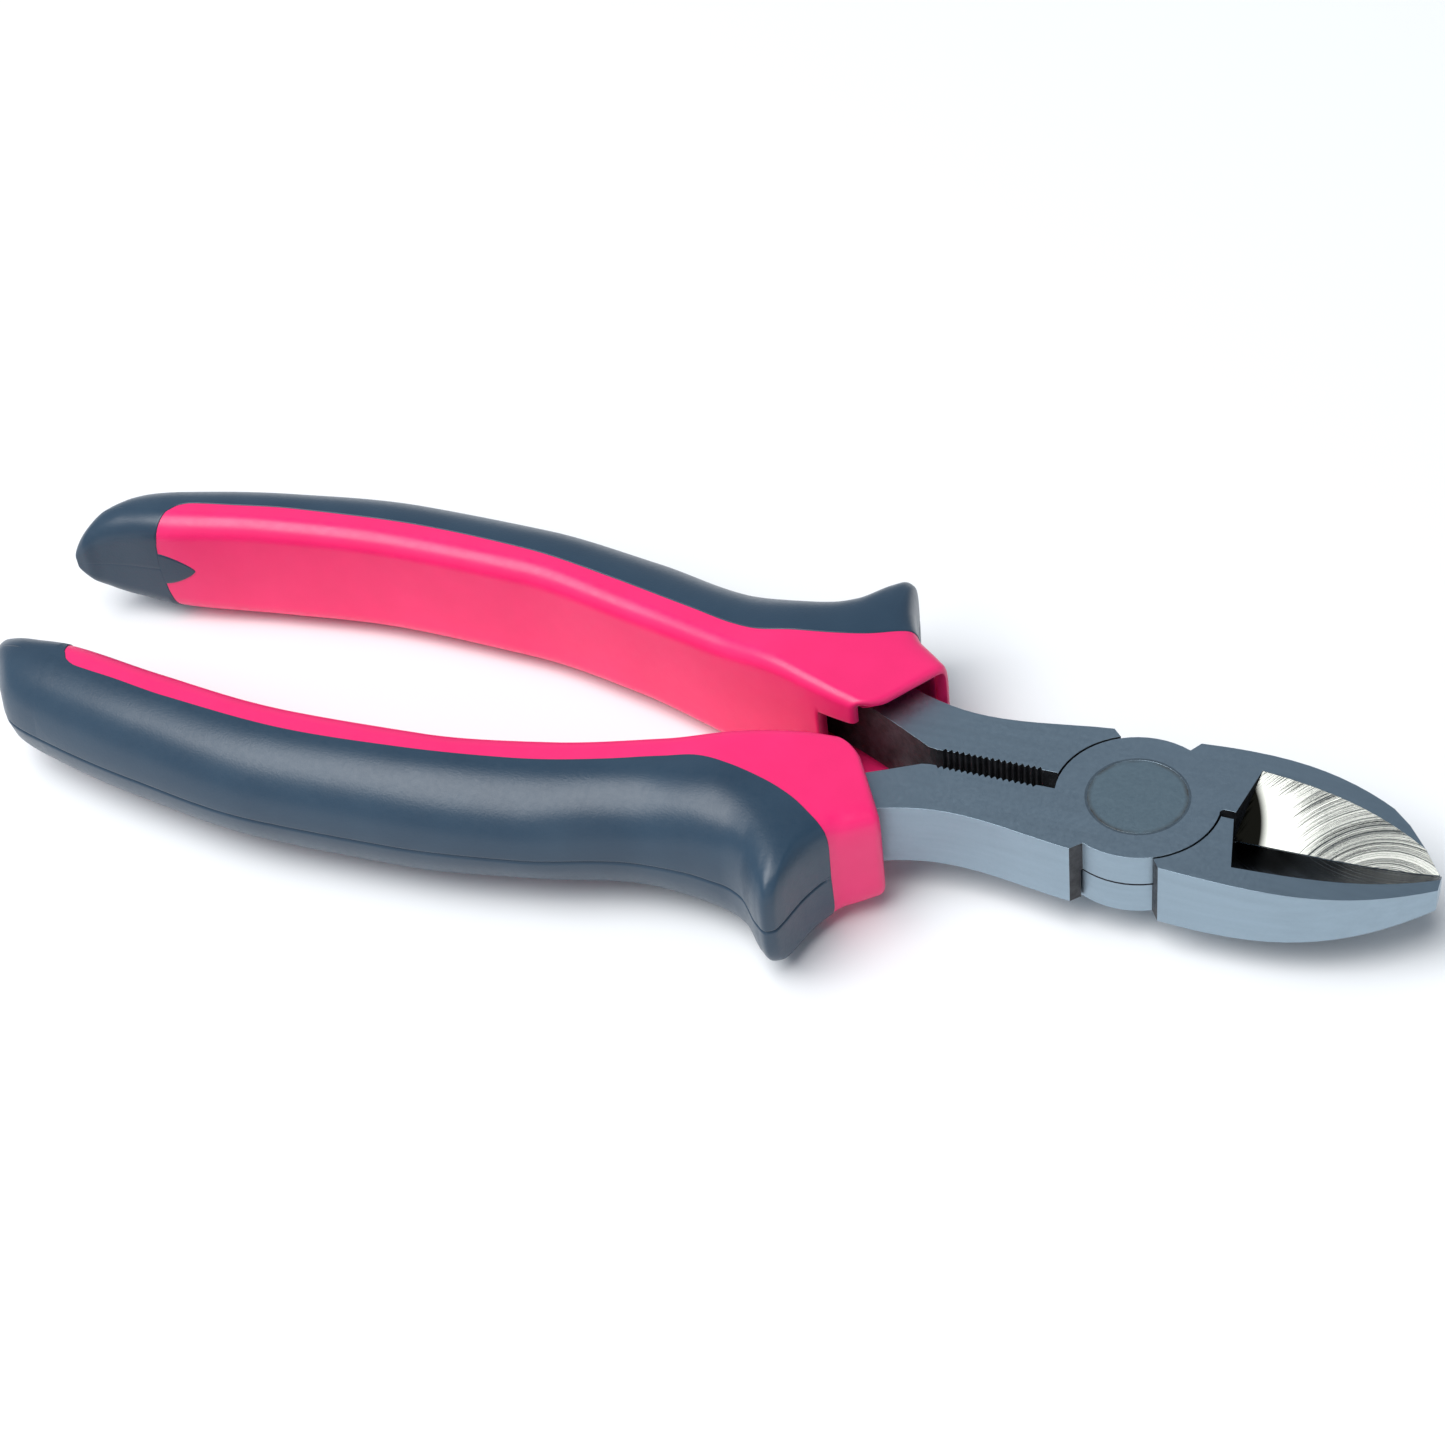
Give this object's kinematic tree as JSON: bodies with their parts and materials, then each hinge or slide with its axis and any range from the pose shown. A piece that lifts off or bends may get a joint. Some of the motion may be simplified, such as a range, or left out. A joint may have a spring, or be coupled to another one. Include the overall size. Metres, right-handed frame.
{
  "type": "diagonal cutting pliers",
  "caption": "Side cutters with a flush lap joint, bevelled diagonal jaws, serrated tangs and two-tone moulded handles with thumb guards.",
  "frame": {"origin": "on the pivot axis, at the centre of the rivet's flush underside", "axes": "+X from the pivot towards the jaw tips, +Z along the pivot axis, up when the pliers lie on their side; +Y is the left lever's handle side"},
  "size_m": [0.1826, 0.0552, 0.019],
  "materials": {
    "head_steel": "satin ground and nickel-plated",
    "rivet_steel": "satin, ground flush",
    "sleeve_plastic": "semi-gloss moulded",
    "grip_rubber": "satin soft-touch"
  },
  "bodies": {
    "right_half": {"right_lever": "head_steel", "pivot_rivet": "rivet_steel", "right_sleeve": "sleeve_plastic", "right_grip": "grip_rubber"},
    "left_half": {"left_lever": "head_steel", "left_sleeve": "sleeve_plastic", "left_grip": "grip_rubber"}
  },
  "joints": [
    {"name": "pivot", "type": "hinge", "parent": "right_half", "child": "left_half", "pos_m": [0, 0, 0.0045], "axis": [0, 0, -1], "range_deg": [0, 40]}
  ]
}
